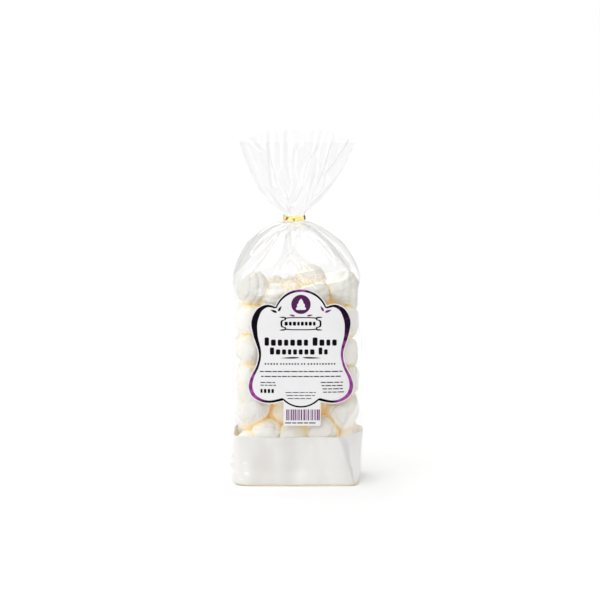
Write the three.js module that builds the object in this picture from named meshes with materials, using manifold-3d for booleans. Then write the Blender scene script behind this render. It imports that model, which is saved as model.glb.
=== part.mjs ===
// A clear gift bag of meringues: filled to the shoulders, gathered and tied at the neck,
// with its top edge fanned out. It stands on a gold board inside a white card band.
// Millimetres, +Z up. The label faces -Y and the origin is under the middle of the bag.
import * as THREE from 'three';
import { mergeVertices } from 'three/addons/utils/BufferGeometryUtils.js';
import Module from 'manifold-3d';

const wasm = await Module();
wasm.setup();

// Driving dimensions
const bodyWidth = 124;
const bodyDepth = 72;
const bodySquareness = 4.4;
const footSquareness = 9.4;
const squareTop = 70;
const boardWidth = 118;
const boardDepth = 69;
const boardThickness = 1;
const boardCorner = 7;
const bandTop = 47;
const shoulderHeight = 196;
const tieHeight = 251;
const lipHeight = 322.5;
const backLipRise = 12.5;
const frontLipRise = 3;
const neckOffset = -2.8;
const neckHalfWidth = 10.2;
const neckHalfDepth = 4.8;
const neckBottom = 248;
const neckTop = 254.6;
const fanHalfWidth = 54;
const fanHalfDepth = 30;
const mouthDepth = 16;
const gap = 0.3;

// Film folds
const pleats = 16;
const ringPoints = 64;
const domeBulge = 1.7;
const lumpHeight = 0.9;

// Tie
const tieBandHeight = 4.4;
const tieThickness = 0.8;

// Label
const labelOffset = 3.4;
const labelThickness = 0.4;
const labelClearance = 0.4;
const labelColumns = 14;
const labelRows = 30;
// Half width and height of the scalloped outline, from the foot of the price patch to the arch.
const labelOutline = [
  [18, 58.6], [18, 79], [34, 81], [46.5, 88], [49, 96.5], [44.5, 109], [39.2, 126.5],
  [43.6, 143], [46.4, 156.5], [42.5, 167.5], [34, 173.5], [20.5, 177], [13.5, 183.5], [2, 188],
];

const clearFilm = { color: 0xf2efe8, roughness: 0.3, metalness: 0 };
const whiteCard = { color: 0xecebe6, roughness: 0.55, metalness: 0 };
const goldBoard = { color: 0xd8b45a, roughness: 0.35, metalness: 0.8 };
const goldTie = { color: 0xe2b964, roughness: 0.28, metalness: 0.9 };
const labelPaper = { color: 0xf1f1f2, roughness: 0.4, metalness: 0 };

const smooth = THREE.MathUtils.smoothstep;
const bell = (value, middle, spread) => Math.exp(-(((value - middle) / spread) ** 2));

function makePiece(name, geometry, finish) {
  geometry.computeVertexNormals();
  const mesh = new THREE.Mesh(geometry, new THREE.MeshStandardMaterial(finish));
  mesh.name = name;
  return mesh;
}

// A closed body through equal rings of points, each ring anticlockwise seen from above.
function loft(rings, topMiddle = null) {
  const count = rings[0].length;
  const positions = rings.flat().flatMap((point) => point.toArray());
  const triangles = [];
  for (let level = 0; level + 1 < rings.length; level += 1) {
    for (let i = 0; i < count; i += 1) {
      const next = (i + 1) % count;
      const low = level * count;
      const high = low + count;
      triangles.push(low + i, low + next, high + next);
      triangles.push(low + i, high + next, high + i);
    }
  }
  const bottomMiddleIndex = positions.length / 3;
  positions.push(...ringMiddle(rings[0]).toArray());
  positions.push(...(topMiddle ?? ringMiddle(rings.at(-1))).toArray());
  const lastRing = (rings.length - 1) * count;
  for (let i = 0; i < count; i += 1) {
    const next = (i + 1) % count;
    triangles.push(bottomMiddleIndex, next, i);
    triangles.push(bottomMiddleIndex + 1, lastRing + i, lastRing + next);
  }
  const geometry = new THREE.BufferGeometry();
  geometry.setAttribute('position', new THREE.Float32BufferAttribute(positions, 3));
  geometry.setIndex(triangles);
  return geometry;
}

function ringMiddle(ring) {
  const sum = ring.reduce((total, point) => total.add(point), new THREE.Vector3());
  return sum.divideScalar(ring.length);
}

// The body is wider low on the left and at the top of the band on the right.
function halfWidth(side, z) {
  const straight = bodyWidth / 2;
  if (side < 0) {
    return straight + 2.2 * bell(z, 20, 17) - 2.2 * bell(z, 76, 16);
  }
  return straight + 2.2 * bell(z, 52, 15) - 2.2 * bell(z, 0, 14);
}

// The section is sharp-cornered where it holds the board and rounder above.
function squareness(z) {
  return THREE.MathUtils.lerp(footSquareness, bodySquareness, smooth(z, 5, squareTop));
}

function squarish(angle, halfX, halfY, roundness) {
  const power = 2 / roundness;
  const x = halfX * Math.sign(Math.cos(angle)) * Math.abs(Math.cos(angle)) ** power;
  const y = halfY * Math.sign(Math.sin(angle)) * Math.abs(Math.sin(angle)) ** power;
  return new THREE.Vector2(x, y);
}

function bodyFront(x, z) {
  const across = Math.min(Math.abs(x) / halfWidth(Math.sign(x), z), 1);
  return (bodyDepth / 2) * (1 - across ** squareness(z)) ** (1 / squareness(z));
}

// Meringues press soft lumps into the sides and the back, never behind the label.
function lump(angle, z) {
  const awayFromLabel = 1 - smooth(-Math.sin(angle), 0.2, 0.6);
  const fadeIn = smooth(z, bandTop + 4, bandTop + 24) * (1 - smooth(z, 170, shoulderHeight));
  return lumpHeight * awayFromLabel * fadeIn * Math.sin(z / 6.2 + 2.1 * Math.sin(3 * angle));
}

function bodyRing(z) {
  return range(ringPoints).map((i) => {
    const angle = (2 * Math.PI * i) / ringPoints;
    const halfX = halfWidth(Math.cos(angle), z);
    const flat = squarish(angle, halfX, bodyDepth / 2, squareness(z));
    flat.multiplyScalar(1 + lump(angle, z) / flat.length());
    return new THREE.Vector3(flat.x, flat.y, z);
  });
}

// The shoulders close in to the neck like a soft dome, and pleats deepen on the way.
function domeRing(z) {
  const climbed = (z - shoulderHeight) / (neckBottom - shoulderHeight);
  const spread = (1 - climbed ** domeBulge) ** (1 / domeBulge);
  const halfY = THREE.MathUtils.lerp(neckHalfDepth, bodyDepth / 2, spread);
  const roundness = THREE.MathUtils.lerp(2, bodySquareness, spread ** 2);
  const depth = 0.07 * smooth(climbed, 0.1, 0.7) * (1 - smooth(climbed, 0.8, 1));
  return range(ringPoints).map((i) => {
    const angle = (2 * Math.PI * i) / ringPoints;
    const halfX = THREE.MathUtils.lerp(neckHalfWidth, halfWidth(Math.cos(angle), z), spread);
    const flat = squarish(angle, halfX, halfY, roundness);
    flat.multiplyScalar(1 + depth * Math.cos(pleats * angle));
    return new THREE.Vector3(flat.x + neckOffset * (1 - spread), flat.y, z);
  });
}

function neckRing(z) {
  return range(ringPoints).map((i) => {
    const angle = (2 * Math.PI * i) / ringPoints;
    const flat = squarish(angle, neckHalfWidth, neckHalfDepth, 2);
    return new THREE.Vector3(flat.x + neckOffset, flat.y, z);
  });
}

// Above the tie the film fans out in pleats, and its back edge stands higher than its front.
function fanRing(rise) {
  const spread = rise ** 0.6;
  const halfX = THREE.MathUtils.lerp(neckHalfWidth, fanHalfWidth, spread);
  const halfY = THREE.MathUtils.lerp(neckHalfDepth, fanHalfDepth, rise ** 0.8);
  const depth = 0.1 * smooth(rise, 0, 0.35);
  return range(ringPoints).map((i) => {
    const angle = (2 * Math.PI * i) / ringPoints;
    const flat = squarish(angle, halfX, halfY, 2);
    flat.multiplyScalar(1 + depth * Math.cos((pleats / 2) * angle) * Math.cos(3 * angle));
    const lipRise = Math.sin(angle) > 0 ? backLipRise : frontLipRise;
    const lip = lipHeight + lipRise * Math.sin(angle) ** 2;
    const z = THREE.MathUtils.lerp(neckTop, lip, rise);
    return new THREE.Vector3(flat.x + neckOffset * (1 - rise), flat.y, z);
  });
}

function range(count) {
  return Array.from({ length: count }, (_, i) => i);
}

function heights(low, high, steps) {
  return range(steps + 1).map((i) => THREE.MathUtils.lerp(low, high, i / steps));
}

function makeBag() {
  const rings = heights(bandTop + gap, shoulderHeight, 14).map(bodyRing);
  const domeSteps = range(12).map((i) => Math.sin(((i + 1) / 12) * (Math.PI / 2)));
  for (const step of domeSteps) {
    rings.push(domeRing(THREE.MathUtils.lerp(shoulderHeight, neckBottom, step)));
  }
  rings.push(neckRing(tieHeight));
  rings.push(neckRing(neckTop));
  const fanSteps = range(9).map((i) => ((i + 1) / 9) ** 1.3);
  fanSteps.forEach((step) => rings.push(fanRing(step)));
  const mouth = new THREE.Vector3(0, 0, lipHeight - mouthDepth);
  return makePiece('bag', loft(rings, mouth), clearFilm);
}

function makeBand() {
  const levels = heights(boardThickness + gap, bandTop, 6);
  return makePiece('card_band', loft(levels.map(bodyRing)), whiteCard);
}

function makeBoard() {
  const outline = new THREE.Shape();
  const straightX = boardWidth / 2 - boardCorner;
  const straightY = boardDepth / 2 - boardCorner;
  const quarter = Math.PI / 2;
  outline.absarc(straightX, straightY, boardCorner, 0, quarter);
  outline.absarc(-straightX, straightY, boardCorner, quarter, 2 * quarter);
  outline.absarc(-straightX, -straightY, boardCorner, 2 * quarter, 3 * quarter);
  outline.absarc(straightX, -straightY, boardCorner, 3 * quarter, 4 * quarter);
  const slab = { depth: boardThickness, bevelEnabled: false, curveSegments: 6 };
  return makePiece('base_board', new THREE.ExtrudeGeometry(outline, slab), goldBoard);
}

// The label is a thin curved plate that follows the front of the body.
function makeLabel() {
  const curve = new THREE.SplineCurve(labelOutline.map(([w, z]) => new THREE.Vector2(w, z)));
  const rings = range(labelRows + 1).map((row) => {
    const edge = curve.getPointAt(row / labelRows);
    const across = range(labelColumns + 1).map((i) => (2 * i) / labelColumns - 1);
    const outer = across.map((t) => labelPoint(t * edge.x, edge.y, labelThickness));
    const inner = across.map((t) => labelPoint(t * edge.x, edge.y, 0)).reverse();
    return [...outer, ...inner];
  });
  return makePiece('label', loft(rings), labelPaper);
}

function labelPoint(across, z, proud) {
  const x = across + labelOffset;
  return new THREE.Vector3(x, -bodyFront(x, z) - labelClearance - proud, z);
}

function toSolid(geometry) {
  geometry.deleteAttribute('normal');
  geometry.deleteAttribute('uv');
  const merged = mergeVertices(geometry, 1e-4);
  return new wasm.Manifold(new wasm.Mesh({
    numProp: 3,
    vertProperties: new Float32Array(merged.attributes.position.array),
    triVerts: new Uint32Array(merged.index.array),
  }));
}

function fromSolid(solid) {
  const mesh = solid.getMesh();
  const geometry = new THREE.BufferGeometry();
  geometry.setAttribute('position', new THREE.BufferAttribute(mesh.vertProperties, 3));
  geometry.setIndex(new THREE.BufferAttribute(mesh.triVerts, 1));
  return geometry;
}

// A gold strip: once round the neck, a curled end on the left and a cut end on the right.
function makeTie() {
  const innerX = neckHalfWidth + gap;
  const innerY = neckHalfDepth + gap;
  const loop = ovalStrip(innerX, innerY, tieThickness);
  loop.translate(neckOffset, 0, tieHeight - tieBandHeight / 2);
  const curl = ovalStrip(1.4, 1.2, tieThickness);
  curl.translate(neckOffset - innerX + 1.2, 0.5 - innerY, tieHeight - tieBandHeight / 2 - 0.4);
  const cutEnd = new THREE.BoxGeometry(11, tieThickness, tieBandHeight - 0.4);
  cutEnd.rotateY(-0.1);
  cutEnd.rotateZ(-0.1);
  cutEnd.translate(neckOffset + 6.1, -innerY - 0.7, tieHeight + 0.7);
  const strip = toSolid(loop).add(toSolid(curl)).add(toSolid(cutEnd));
  return makePiece('tie', fromSolid(strip), goldTie);
}

function ovalStrip(innerX, innerY, thickness) {
  const outline = new THREE.Shape();
  outline.absellipse(0, 0, innerX + thickness, innerY + thickness, 0, 2 * Math.PI);
  const hole = new THREE.Path();
  hole.absellipse(0, 0, innerX, innerY, 0, 2 * Math.PI, true);
  outline.holes.push(hole);
  const band = { depth: tieBandHeight, bevelEnabled: false, curveSegments: 28 };
  return new THREE.ExtrudeGeometry(outline, band);
}

const pack = new THREE.Group();
pack.add(makeBoard(), makeBand(), makeBag(), makeTie(), makeLabel());

// The origin is under the middle of the whole outline.
const outline = new THREE.Box3().setFromObject(pack);
const middle = outline.getCenter(new THREE.Vector3());
pack.position.set(-middle.x, -middle.y, -outline.min.z);

export default pack;
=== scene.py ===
"""A clear gift bag of meringues, tied at the neck, on a gold board in a white card band.

Shapes are worked out in millimetres in the part's own frame and stored in metres.
The label faces -Y. The film is a tube of cloth, gathered at the tie and relaxed in numpy.
"""
import math

import bpy
import numpy as np
from mathutils import Matrix, Vector
from mathutils.geometry import delaunay_2d_cdt


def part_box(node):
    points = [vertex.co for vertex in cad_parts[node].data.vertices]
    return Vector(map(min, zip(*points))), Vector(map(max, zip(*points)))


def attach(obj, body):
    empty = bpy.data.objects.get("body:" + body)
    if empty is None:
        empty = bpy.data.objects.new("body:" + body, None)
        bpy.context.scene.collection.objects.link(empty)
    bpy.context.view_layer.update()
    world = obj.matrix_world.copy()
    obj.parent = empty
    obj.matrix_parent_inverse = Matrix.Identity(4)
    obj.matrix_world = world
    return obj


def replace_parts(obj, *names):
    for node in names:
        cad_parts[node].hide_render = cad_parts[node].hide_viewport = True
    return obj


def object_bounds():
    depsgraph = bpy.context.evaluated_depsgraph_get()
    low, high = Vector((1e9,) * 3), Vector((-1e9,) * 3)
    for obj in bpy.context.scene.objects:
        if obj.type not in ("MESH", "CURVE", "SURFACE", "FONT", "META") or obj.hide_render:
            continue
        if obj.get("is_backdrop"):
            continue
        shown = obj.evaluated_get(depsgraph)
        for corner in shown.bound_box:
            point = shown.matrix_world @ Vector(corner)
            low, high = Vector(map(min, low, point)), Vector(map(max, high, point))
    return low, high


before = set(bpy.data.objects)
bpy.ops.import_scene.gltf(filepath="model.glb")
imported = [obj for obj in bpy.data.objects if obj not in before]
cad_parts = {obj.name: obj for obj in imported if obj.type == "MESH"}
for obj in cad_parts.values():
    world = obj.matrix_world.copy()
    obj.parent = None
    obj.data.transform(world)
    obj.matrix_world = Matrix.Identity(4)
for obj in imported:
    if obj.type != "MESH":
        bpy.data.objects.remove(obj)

cad_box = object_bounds()

# ---------------- sizes, in millimetres
MM = 0.001


def box_mm(node):
    low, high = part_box(node)
    return np.array(low) / MM, np.array(high) / MM


BOARD_LOW, BOARD_HIGH = box_mm("base_board")
BAND_LOW, BAND_HIGH = box_mm("card_band")
TIE_LOW = box_mm("tie")[0]
LABEL_LOW, LABEL_HIGH = box_mm("label")
BAG_HIGH = box_mm("bag")[1]

MIDDLE = (BOARD_LOW + BOARD_HIGH)[:2] / 2
LABEL_MIDDLE = (LABEL_LOW[0] + LABEL_HIGH[0]) / 2 - MIDDLE[0]
HALF_DEPTH = (BAND_HIGH[1] - BAND_LOW[1]) / 2
HALF_WIDTH = HALF_DEPTH + 26.0
SQUARENESS = 4.4
BAND_TOP = BAND_HIGH[2]
TIE_HEIGHT = TIE_LOW[2] + 2.8
SHOULDER = TIE_HEIGHT - 55.0
NECK_LOW = TIE_HEIGHT - 3.0
NECK_HIGH = TIE_HEIGHT + 3.6
NECK_HALF = (9.6, 4.2)
NECK_OFFSET = -2.8
FAN_HALF = (54.0, 31.0)
LIP_HEIGHT = BAG_HIGH[2] - 12.5
DOME_BULGE = 1.7
# The slanted facet at the front right corner: where it starts across the front, at the foot and at
# the band's top, where it ends before the middle plane, and how far the film lies outside it.
FACET_START = (54.7, 38.6)
FACET_END = 5.0
FACET_FILM = -0.4


def smooth(value, low, high):
    t = np.clip((value - low) / (high - low), 0, 1)
    return t * t * (3 - 2 * t)


def mix(a, b, t):
    return a + (b - a) * t


def bell(value, middle, spread):
    return np.exp(-(((value - middle) / spread) ** 2))


def stack(*coordinates):
    """Points from their coordinates."""
    return np.stack(coordinates, axis=-1)


def split(points):
    """The coordinates of points, as views."""
    return np.moveaxis(points, -1, 0)


def unit(vectors):
    """Vectors brought to length 1."""
    return vectors / (np.linalg.norm(vectors, axis=-1, keepdims=True) + 1e-9)


# ---------------- the bag's outline
def side_bulge(x, z):
    """How far the body stands out past its straight side, low on the left, higher on the right."""
    left = 2.2 * bell(z, 20, 17) - 2.2 * bell(z, 76, 16) - 4.5 * bell(z, -4, 7)
    right = 2.2 * bell(z, 52, 15) - 2.2 * bell(z, 0, 14)
    return np.where(np.asarray(x) < 0, left, right)


def outline(z, x=0.0):
    """Half width, half depth, squareness and sideways offset of the bag at height z."""
    z = np.asarray(z, float)
    climbed = np.clip((z - SHOULDER) / (NECK_LOW - SHOULDER), 0, 1)
    spread = (1 - climbed ** DOME_BULGE) ** (1 / DOME_BULGE)
    rise = np.clip((z - NECK_HIGH) / (LIP_HEIGHT - NECK_HIGH), 0, 1.3)
    below = z < NECK_HIGH
    wide = mix(NECK_HALF[0], HALF_WIDTH + side_bulge(x, z), spread)
    deep = mix(NECK_HALF[1], HALF_DEPTH, spread)
    half_x = np.where(below, wide, mix(NECK_HALF[0], FAN_HALF[0], rise ** 0.6))
    half_y = np.where(below, deep, mix(NECK_HALF[1], FAN_HALF[1], rise ** 0.8))
    square = np.where(below, mix(2.0, squareness(z), spread ** 2), 2.0)
    offset = NECK_OFFSET * np.where(below, 1 - spread, 1 - np.clip(rise, 0, 1))
    return half_x, half_y, square, offset


def squareness(z):
    """How square the bag's section is: sharp-cornered where it holds the board, rounder above."""
    return SQUARENESS + 5.0 * (1 - smooth(z, 5, 70))


def bent(value, power):
    """A cosine or sine raised to a power with its sign kept, which squares a circle off."""
    return np.sign(value) * np.abs(value) ** power


def ring(count, half_x, half_y, square):
    """Points spaced evenly round a rounded rectangle, and its length."""
    t = np.linspace(0, 2 * np.pi, 2001)
    power = 2 / square
    x = half_x * bent(np.cos(t), power)
    y = half_y * bent(np.sin(t), power)
    run = np.concatenate([[0], np.cumsum(np.hypot(np.diff(x), np.diff(y)))])
    at = np.interp(np.arange(count) / count * run[-1], run, t)
    return half_x * bent(np.cos(at), power), half_y * bent(np.sin(at), power), run[-1]


def share_out(x, y, half_x, half_y, square):
    """How far out (x, y) lies in a rounded rectangle: 0 in the middle, 1 on the edge."""
    return (np.abs(x / half_x) ** square + np.abs(y / half_y) ** square) ** (1 / square)


def corner_cut(points, clear):
    """Scale that brings points past the slanted facet at the front right corner back onto it."""
    x, y, z = split(points)
    slant = np.clip(z / BAND_TOP, 0, 1) * (1 - smooth(z, BAND_TOP + 2, BAND_TOP + 34))
    start = mix(FACET_START[0], FACET_START[1], slant)
    run_x, run_y = HALF_WIDTH - start, HALF_DEPTH - FACET_END
    length = np.hypot(run_x, run_y)
    reach = (start * run_y + HALF_DEPTH * run_x) / length - clear
    past = (x * run_y - y * run_x) / length
    return 1 / np.maximum(np.where((x > 0) & (y < 0), past / reach, 0), 1)


def front_depth(x, z):
    """How far the body's front stands out from the middle plane at (x, z)."""
    half_x = HALF_WIDTH + side_bulge(x, z)
    across = np.clip(np.abs(x) / half_x, 0, 1)
    return HALF_DEPTH * (1 - across ** squareness(z)) ** (1 / squareness(z))


def card_wave(x, z):
    """How far the card's front dents in: broad upright waves that fade at its foot and its top."""
    wave = np.sin(x / 8.5 + 0.03 * z) + 0.7 * np.sin(x / 13.0 + 2.0) + 0.3 * np.sin(x / 4.6 + z / 11)
    fade = smooth(z, 2, 18) * (1 - 0.4 * smooth(z, BAND_TOP - 8, BAND_TOP))
    return (2.4 + 1.4 * wave + 0.8 * (x / HALF_WIDTH) ** 2) * fade


# ---------------- mesh and material helpers
def new_object(name, points, faces, material, shade_smooth=True):
    """A mesh object from points in millimetres round the bag's middle."""
    placed = np.array(points, float).reshape(-1, 3)
    placed[:, :2] += MIDDLE
    mesh = bpy.data.meshes.new(name)
    mesh.from_pydata((placed * MM).tolist(), [], faces)
    mesh.validate()
    mesh.polygons.foreach_set("use_smooth", [shade_smooth] * len(mesh.polygons))
    mesh.materials.append(material)
    piece = bpy.data.objects.new(name, mesh)
    bpy.context.scene.collection.objects.link(piece)
    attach(piece, "root")
    return piece


def add_values(piece, **layers):
    """Store values per point, which the materials read by name."""
    for name, values in layers.items():
        layer = piece.data.attributes.new(name, "FLOAT", "POINT")
        layer.data.foreach_set("value", np.asarray(values, float).ravel())


def grid_faces(rows, columns):
    """Faces between the rows of a tube that is open at both ends."""
    index = np.arange(rows * columns).reshape(rows, columns)
    right = np.roll(index, -1, axis=1)
    return np.stack([index[:-1], right[:-1], right[1:], index[1:]], axis=-1).reshape(-1, 4).tolist()


def capped_faces(rows, columns):
    """The same tube with a face across either end."""
    last = (rows - 1) * columns
    ends = [list(range(columns))[::-1], list(range(last, last + columns))]
    return grid_faces(rows, columns) + ends


WHITE = (1, 1, 1, 1)


class Nodes:
    """Short ways to build the node tree of a material or the world."""

    def __init__(self, name, world=False):
        self.owner = (bpy.data.worlds if world else bpy.data.materials).new(name)
        self.owner.use_nodes = True
        self.tree = self.owner.node_tree
        self.tree.nodes.clear()
        self.output = self.add("OutputWorld" if world else "OutputMaterial")

    def feed(self, value, socket):
        """Give a socket a plain value, or link another node's output to it."""
        if isinstance(value, bpy.types.NodeSocket):
            self.tree.links.new(value, socket)
        else:
            socket.default_value = value

    def add(self, kind, *values, **settings):
        """A node. Settings are its properties or named inputs, and values its inputs in order."""
        node = self.tree.nodes.new("ShaderNode" + kind)
        for key, value in settings.items():
            if hasattr(node, key):
                setattr(node, key, value)
            else:
                self.feed(value, node.inputs[key.replace("_", " ")])
        for value, socket in zip(values, node.inputs):
            self.feed(value, socket)
        return node

    def math(self, operation, *values):
        return self.add("Math", *values, operation=operation).outputs[0]

    def scaled(self, colour, share):
        return self.add("VectorMath", colour, operation="SCALE", Scale=share).outputs[0]

    def blend(self, share, first, second):
        return self.add("MixShader", share, first.outputs[0], second.outputs[0])

    def noise(self, scale, detail=3.0, roughness=0.55, stretch=(1, 1, 1)):
        place = self.add("TexCoord").outputs["Object"]
        mapping = self.add("Mapping", place, Scale=stretch).outputs[0]
        texture = self.add("TexNoise", mapping, Scale=scale, Detail=detail, Roughness=roughness)
        return texture.outputs["Fac"]

    def ramp(self, factor, stops):
        node = self.add("ValToRGB", factor)
        while len(node.color_ramp.elements) < len(stops):
            node.color_ramp.elements.new(0.5)
        for element, (place, colour) in zip(node.color_ramp.elements, stops):
            element.position = place
            element.color = (*colour, 1)
        return node.outputs["Color"]

    def bump(self, height, distance, strength):
        return self.add("Bump", Height=height, Distance=distance, Strength=strength).outputs["Normal"]

    def attribute(self, name):
        return self.add("Attribute", attribute_name=name).outputs["Fac"]

    def finish(self, shader):
        self.feed(shader.outputs[0], self.output.inputs[0])
        return self.owner

    def surface(self, colour, grain=None, glow=None, **settings):
        """The finished material, with a grain of (height, distance, strength) and a painted glow:
        emission of the given colour, as strong as the values stored on the piece.
        """
        if grain:
            settings["Normal"] = self.bump(*grain)
        if glow:
            settings.update(Emission_Color=(*glow, 1), Emission_Strength=self.attribute("glow"))
        return self.finish(self.add("BsdfPrincipled", Base_Color=colour, **settings))


def film_material(name, clearness, mirror_share, mirror_least):
    """Clear glossy film: see-through face on, and a mirror of the room at its folds."""
    m = Nodes(name)
    creases = m.noise(26.0, 2.0, stretch=(1, 1, 0.6))
    creases.node.noise_type = "RIDGED_MULTIFRACTAL"
    crinkle = m.bump(m.math("MULTIPLY", creases, m.attribute("crease")), 0.0022, 0.5)
    clear = m.add("BsdfTransparent", (clearness, clearness, clearness, 1))
    gloss = m.add("BsdfGlossy", WHITE, Roughness=0.1, Normal=crinkle)
    facing = m.add("LayerWeight", Blend=0.5, Normal=crinkle).outputs["Facing"]
    mirror = m.math("MULTIPLY_ADD", m.math("POWER", facing, 2.0), mirror_share, mirror_least)
    return m.finish(m.blend(mirror, clear, gloss))


def meringue_material():
    """Dry baked sugar: warm white with a fine grain, with painted shade that goes creamier and darker
    where it lies deep in the heap, in crevices and grooves and near the heap's top, and a painted glow
    deep in the heap.
    """
    m = Nodes("meringue")
    # Painted shade: the ramp turns creamier and darker as these values rise in crevices, deep in the heap
    # and in grooves; the noise is a real random tone.
    warmth = m.math("MULTIPLY_ADD", m.noise(60.0, 4.0), 0.22, m.attribute("warmth"))
    stops = [
        (0.12, (0.90, 0.893, 0.875)),
        (0.4, (0.91, 0.875, 0.78)),
        (0.7, (0.92, 0.80, 0.54)),
        (1.0, (0.88, 0.68, 0.35)),
    ]
    # Scaled by each meringue's own random tone, with painted shade darkening those near the heap's top.
    colour = m.scaled(m.ramp(warmth, stops), m.attribute("shade"))
    grain = (m.noise(420.0, 6.0, 0.7), 0.0008, 0.6)
    # The colour given here is that of the painted glow, an emission that stands in for light through the
    # heap.
    return m.surface(colour, grain, (0.125, 0.106, 0.062), Roughness=0.62)


def card_material():
    """White card with faint soft patches, and a painted glow: emission that stands in for light inside
    the sleeve.
    """
    m = Nodes("white_card")
    patches = m.noise(26.0, 2.0, stretch=(1.5, 1, 0.6))
    colour = m.ramp(patches, [(0.35, (0.765, 0.74, 0.71)), (0.65, (0.86, 0.855, 0.835))])
    grain = (m.noise(600.0, 4.0), 0.0002, 0.25)
    # The colour given here is that of the painted glow on the sleeve's inner wall.
    return m.surface(colour, grain, (0.10, 0.085, 0.06), Roughness=0.42)


def gold_material(name, light, dark, roughness, stretch, painted_shade_back=False):
    m = Nodes(name)
    colour = m.ramp(m.noise(220.0, 3.0, stretch=stretch), [(0.3, dark), (0.65, light)])
    # Painted shade: the strip's back is darkened to near black where the twists show it, standing in for
    # shadow and dark reflection.
    if painted_shade_back:
        colour = m.scaled(colour, m.math("MULTIPLY_ADD", m.attribute("back"), -0.94, 1.0))
    grain = (m.noise(500.0, 3.0, stretch=stretch), 0.0003, 0.4)
    return m.surface(colour, grain, Metallic=0.9, Roughness=roughness)


def paper_material():
    m = Nodes("label_paper")
    colour = m.ramp(m.noise(30.0), [(0.3, (0.715, 0.715, 0.72)), (0.7, (0.745, 0.745, 0.75))])
    return m.surface(colour, (m.noise(700.0, 3.0), 0.0001, 0.2), Roughness=0.4)


def foil_material():
    """Purple foil print, its tone read from the foil values: plain tones for the print, and a painted
    reflection along the border that runs from near black to bright purple.
    """
    m = Nodes("purple_foil")
    stops = [(0.0, (0.001, 0.0006, 0.0015)), (0.45, (0.012, 0.003, 0.018)), (1.0, (0.33, 0.06, 0.30))]
    colour = m.ramp(m.attribute("foil"), stops)
    grain = (m.noise(400.0, 2.0), 0.0002, 0.2)
    return m.surface(colour, grain, Metallic=0.2, Roughness=0.45, Specular_IOR_Level=0.05)


FILM = film_material("clear_film", 0.952, 0.85, 0.045)
FAN_FILM = film_material("clear_film_fan", 0.965, 0.45, 0.02)
MERINGUE = meringue_material()
CARD = card_material()
BOARD_GOLD = gold_material("gold_board", (0.95, 0.84, 0.58), (0.90, 0.76, 0.45), 0.4, (1, 1, 1))
# The strip's material darkens its back as painted shade.
STRIP_GOLD = gold_material("gold_strip", (1.0, 0.80, 0.36), (0.90, 0.60, 0.18), 0.25, (6, 6, 0.4), True)
PAPER = paper_material()
FOIL = foil_material()

# ---------------- meringues
MERINGUE_RADIUS = 18.8
MERINGUE_FOOT = 13.5
MERINGUE_HEIGHT = 29.0
# The share of the height at which the foot ends and the dome starts.
MERINGUE_WAIST = 0.24
MERINGUE_COLUMNS = 68
MERINGUE_ROWS = 38
# The shape's own radius, by which it is scaled to a meringue's.
MERINGUE_UNIT = 17.6

# Middle (x, y, z), radius and pointing direction of those that show plainly at the front.
SHOWN = [
    ((-43, -17, 187), 15.5, (-0.9, -0.4, 0.3)),
    ((-22, -18, 178), 14, (0.2, -0.6, 0.8)),
    ((13, 4, 193), 14.5, (0.3, -0.3, 0.9)),
    ((44, -16, 186), 15.5, (-0.8, -0.5, 0.2)),
    ((-44, -19, 157), 15, (-0.3, -0.9, 0.3)),
    ((-43.5, -19, 129), 14.5, (0.2, -1, -0.2)),
    ((-44, -18, 101), 14.5, (-0.5, -0.8, 0.3)),
    ((-41, -18.5, 74), 16, (0.5, -0.8, 0.2)),
    ((-29, -20, 47.5), 15, (-0.2, -0.7, 0.7)),
    ((-12.5, -6, 67), 14.5, (0.4, -0.8, 0.3)),
    ((23, -20, 51), 15.5, (-0.2, -0.8, 0.6)),
    ((45, -18, 68), 15.5, (0.3, -0.9, 0.1)),
    ((45, -18, 99), 15, (-0.4, -0.9, -0.2)),
    ((45, -18, 156), 15, (0.5, -0.8, 0.2)),
    ((-46, -21, 38), 13.5, (-0.6, -0.5, 0.6)),
    ((44, -6, 36), 14, (0.6, -0.4, 0.6)),
]
# The heap's top, the highest that a loose meringue settles, and the number of meringues.
HEAP_TOP = 205.0
SETTLED_TOP = 195.0
HEAP_COUNT = 77
HEAP_FLOOR = 2.2
HEAP_SEED = 11
# How far the heap stays inside the film, how much more inside the card, and inside its dents.
FILM_GAP = 0.9
CARD_GAP = 1.8
DENT_GAP = 2.6
SETTLING_STEPS = 900
PUSH_APART = 0.45
SINK = 0.12
# How far from its neighbour a meringue still gets painted crevice shade, warmer and darker in tone.
CREVICE = 4.5


def pack_heap(rng):
    """Middles and radii of the meringues: those shown stay put and the rest settle round them."""
    fixed = np.array([place for place, _, _ in SHOWN])
    free_count = HEAP_COUNT - len(SHOWN)
    radii = np.concatenate([[r for _, r, _ in SHOWN], rng.uniform(13.8, 15.8, free_count)])
    low = np.array([3.5 - HALF_WIDTH, -HALF_DEPTH, 1.5])
    high = np.array([HALF_WIDTH - 3.0, HALF_DEPTH, SETTLED_TOP])
    free = rng.uniform(low + 15, high - 15, (free_count, 3))
    middles = np.concatenate([fixed, free])
    inset = radii[:, None] + 0.6
    for step in range(SETTLING_STEPS):
        apart = middles[:, None] - middles[None]
        distance = np.linalg.norm(apart, axis=-1) + np.eye(len(middles)) * 1e3
        overlap = np.maximum(radii[:, None] + radii[None] - distance, 0)
        middles += PUSH_APART * (apart / distance[..., None] * overlap[..., None]).sum(axis=1) / 2
        middles[:, 2] -= SINK * (step < SETTLING_STEPS * 2 // 3)
        middles = np.clip(middles, low + inset, high - inset)
        middles[:len(fixed)] = fixed
    return middles, radii


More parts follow.
